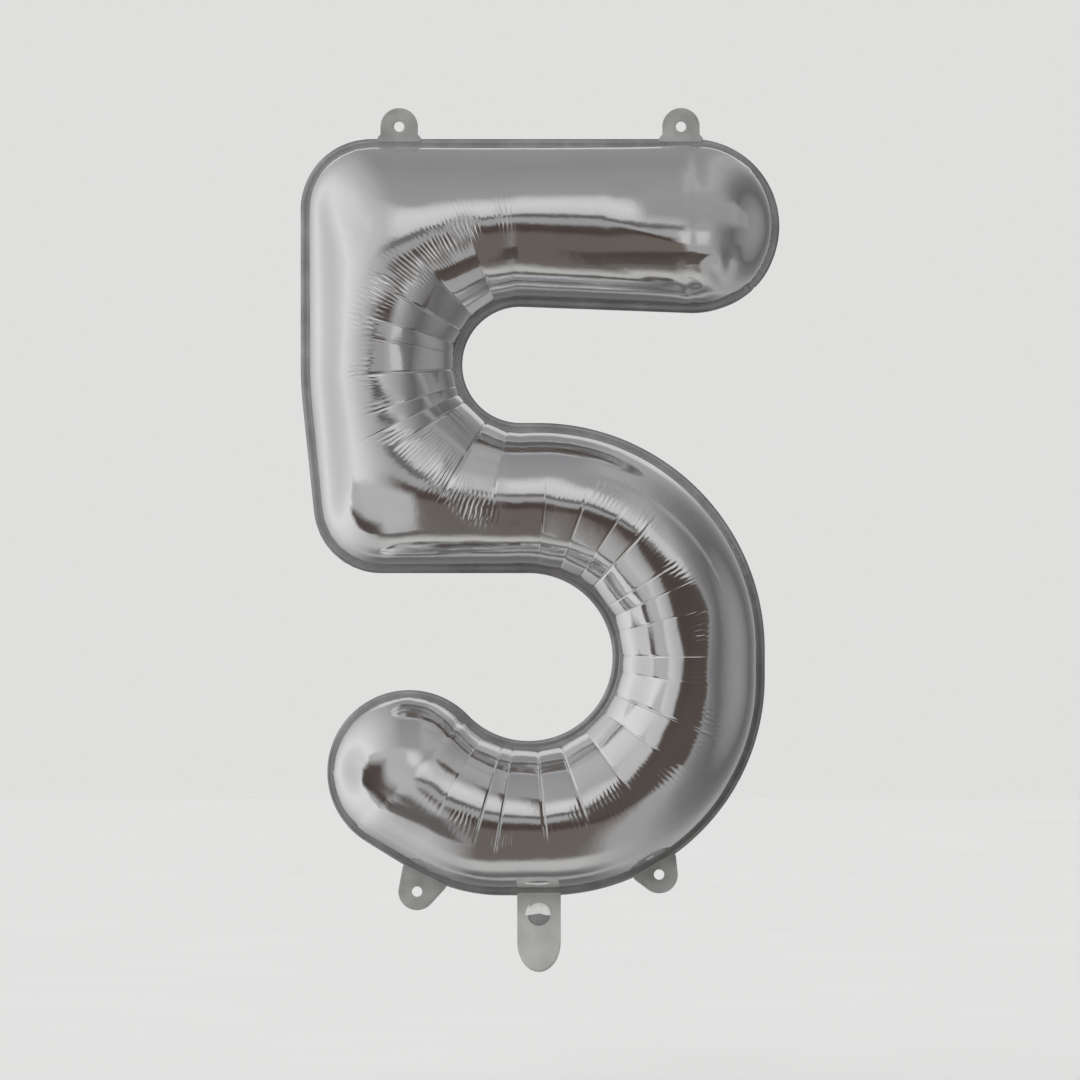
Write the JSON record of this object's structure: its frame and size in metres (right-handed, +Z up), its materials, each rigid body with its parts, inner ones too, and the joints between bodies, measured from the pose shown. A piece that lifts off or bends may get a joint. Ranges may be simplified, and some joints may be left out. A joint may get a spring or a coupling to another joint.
{
  "type": "foil number balloon",
  "caption": "Inflated foil figure 5 of two film plies sealed round the edge, with holed hanging tabs and a filling tail that holds a self-sealing film valve.",
  "frame": {"origin": "middle of the line between the two top hanging holes, in the plane of the seal", "axes": "+Z up, +X to the right of the figure seen from its front, front faces -Y"},
  "size_m": [0.462, 0.1498, 0.834],
  "materials": {
    "silver_foil": "mirror-bright metallised film, with fine puckers along its bends",
    "tab_film": "flat sealed metallised film, satin",
    "tail_film": "flat sealed film, satin grey",
    "valve_film": "clear thin polyethylene film"
  },
  "bodies": {
    "balloon": {"front_foil": "silver_foil", "back_foil": "silver_foil", "valve_front_film_in_seam": "valve_film", "valve_back_film_in_seam": "valve_film"},
    "top_left_tab": {"top_left_tab_front_ply": "tab_film", "top_left_tab_back_ply": "tab_film"},
    "top_right_tab": {"top_right_tab_front_ply": "tab_film", "top_right_tab_back_ply": "tab_film"},
    "low_left_tab": {"low_left_tab_front_ply": "tab_film", "low_left_tab_back_ply": "tab_film"},
    "low_right_tab": {"low_right_tab_front_ply": "tab_film", "low_right_tab_back_ply": "tab_film"},
    "filling_tail": {"tail_front_ply": "tail_film", "tail_back_ply": "tail_film", "valve_front_film_in_tail": "valve_film", "valve_back_film_in_tail": "valve_film"},
    "front_lip": {"valve_front_lip": "valve_film"},
    "back_lip": {"valve_back_lip": "valve_film"}
  },
  "joints": [
    {"name": "top_left_tab_bend", "type": "hinge", "parent": "balloon", "child": "top_left_tab", "pos_m": [-0.136, 0, -0.011], "axis": [1, 0, 0], "range_deg": [-80, 80], "stiffness_Nm_per_rad": 0.005},
    {"name": "top_right_tab_bend", "type": "hinge", "parent": "balloon", "child": "top_right_tab", "pos_m": [0.136, 0, -0.011], "axis": [1, 0, 0], "range_deg": [-80, 80], "stiffness_Nm_per_rad": 0.005},
    {"name": "low_left_tab_bend", "type": "hinge", "parent": "balloon", "child": "low_left_tab", "pos_m": [-0.11194, 0, -0.72498], "axis": [-0.8934, 0, 0.4493], "range_deg": [-80, 80], "stiffness_Nm_per_rad": 0.005},
    {"name": "low_right_tab_bend", "type": "hinge", "parent": "balloon", "child": "low_right_tab", "pos_m": [0.11122, 0, -0.71546], "axis": [-0.8695, 0, -0.4939], "range_deg": [-80, 80], "stiffness_Nm_per_rad": 0.005},
    {"name": "tail_bend", "type": "hinge", "parent": "balloon", "child": "filling_tail", "pos_m": [-0.001, 0, -0.743], "axis": [1, 0, 0], "range_deg": [-105, 105], "stiffness_Nm_per_rad": 0.005},
    {"name": "front_lip_part", "type": "hinge", "parent": "balloon", "child": "front_lip", "pos_m": [-0.001, -0.00012, -0.732], "axis": [1, 0, 0], "range_deg": [0, 8], "stiffness_Nm_per_rad": 0.002},
    {"name": "back_lip_part", "type": "hinge", "parent": "balloon", "child": "back_lip", "pos_m": [-0.001, 0.00012, -0.732], "axis": [1, 0, 0], "range_deg": [-8, 0], "stiffness_Nm_per_rad": 0.002}
  ],
  "couplings": [
    {"joint": "back_lip_part", "follows": "front_lip_part", "ratio": -1}
  ]
}
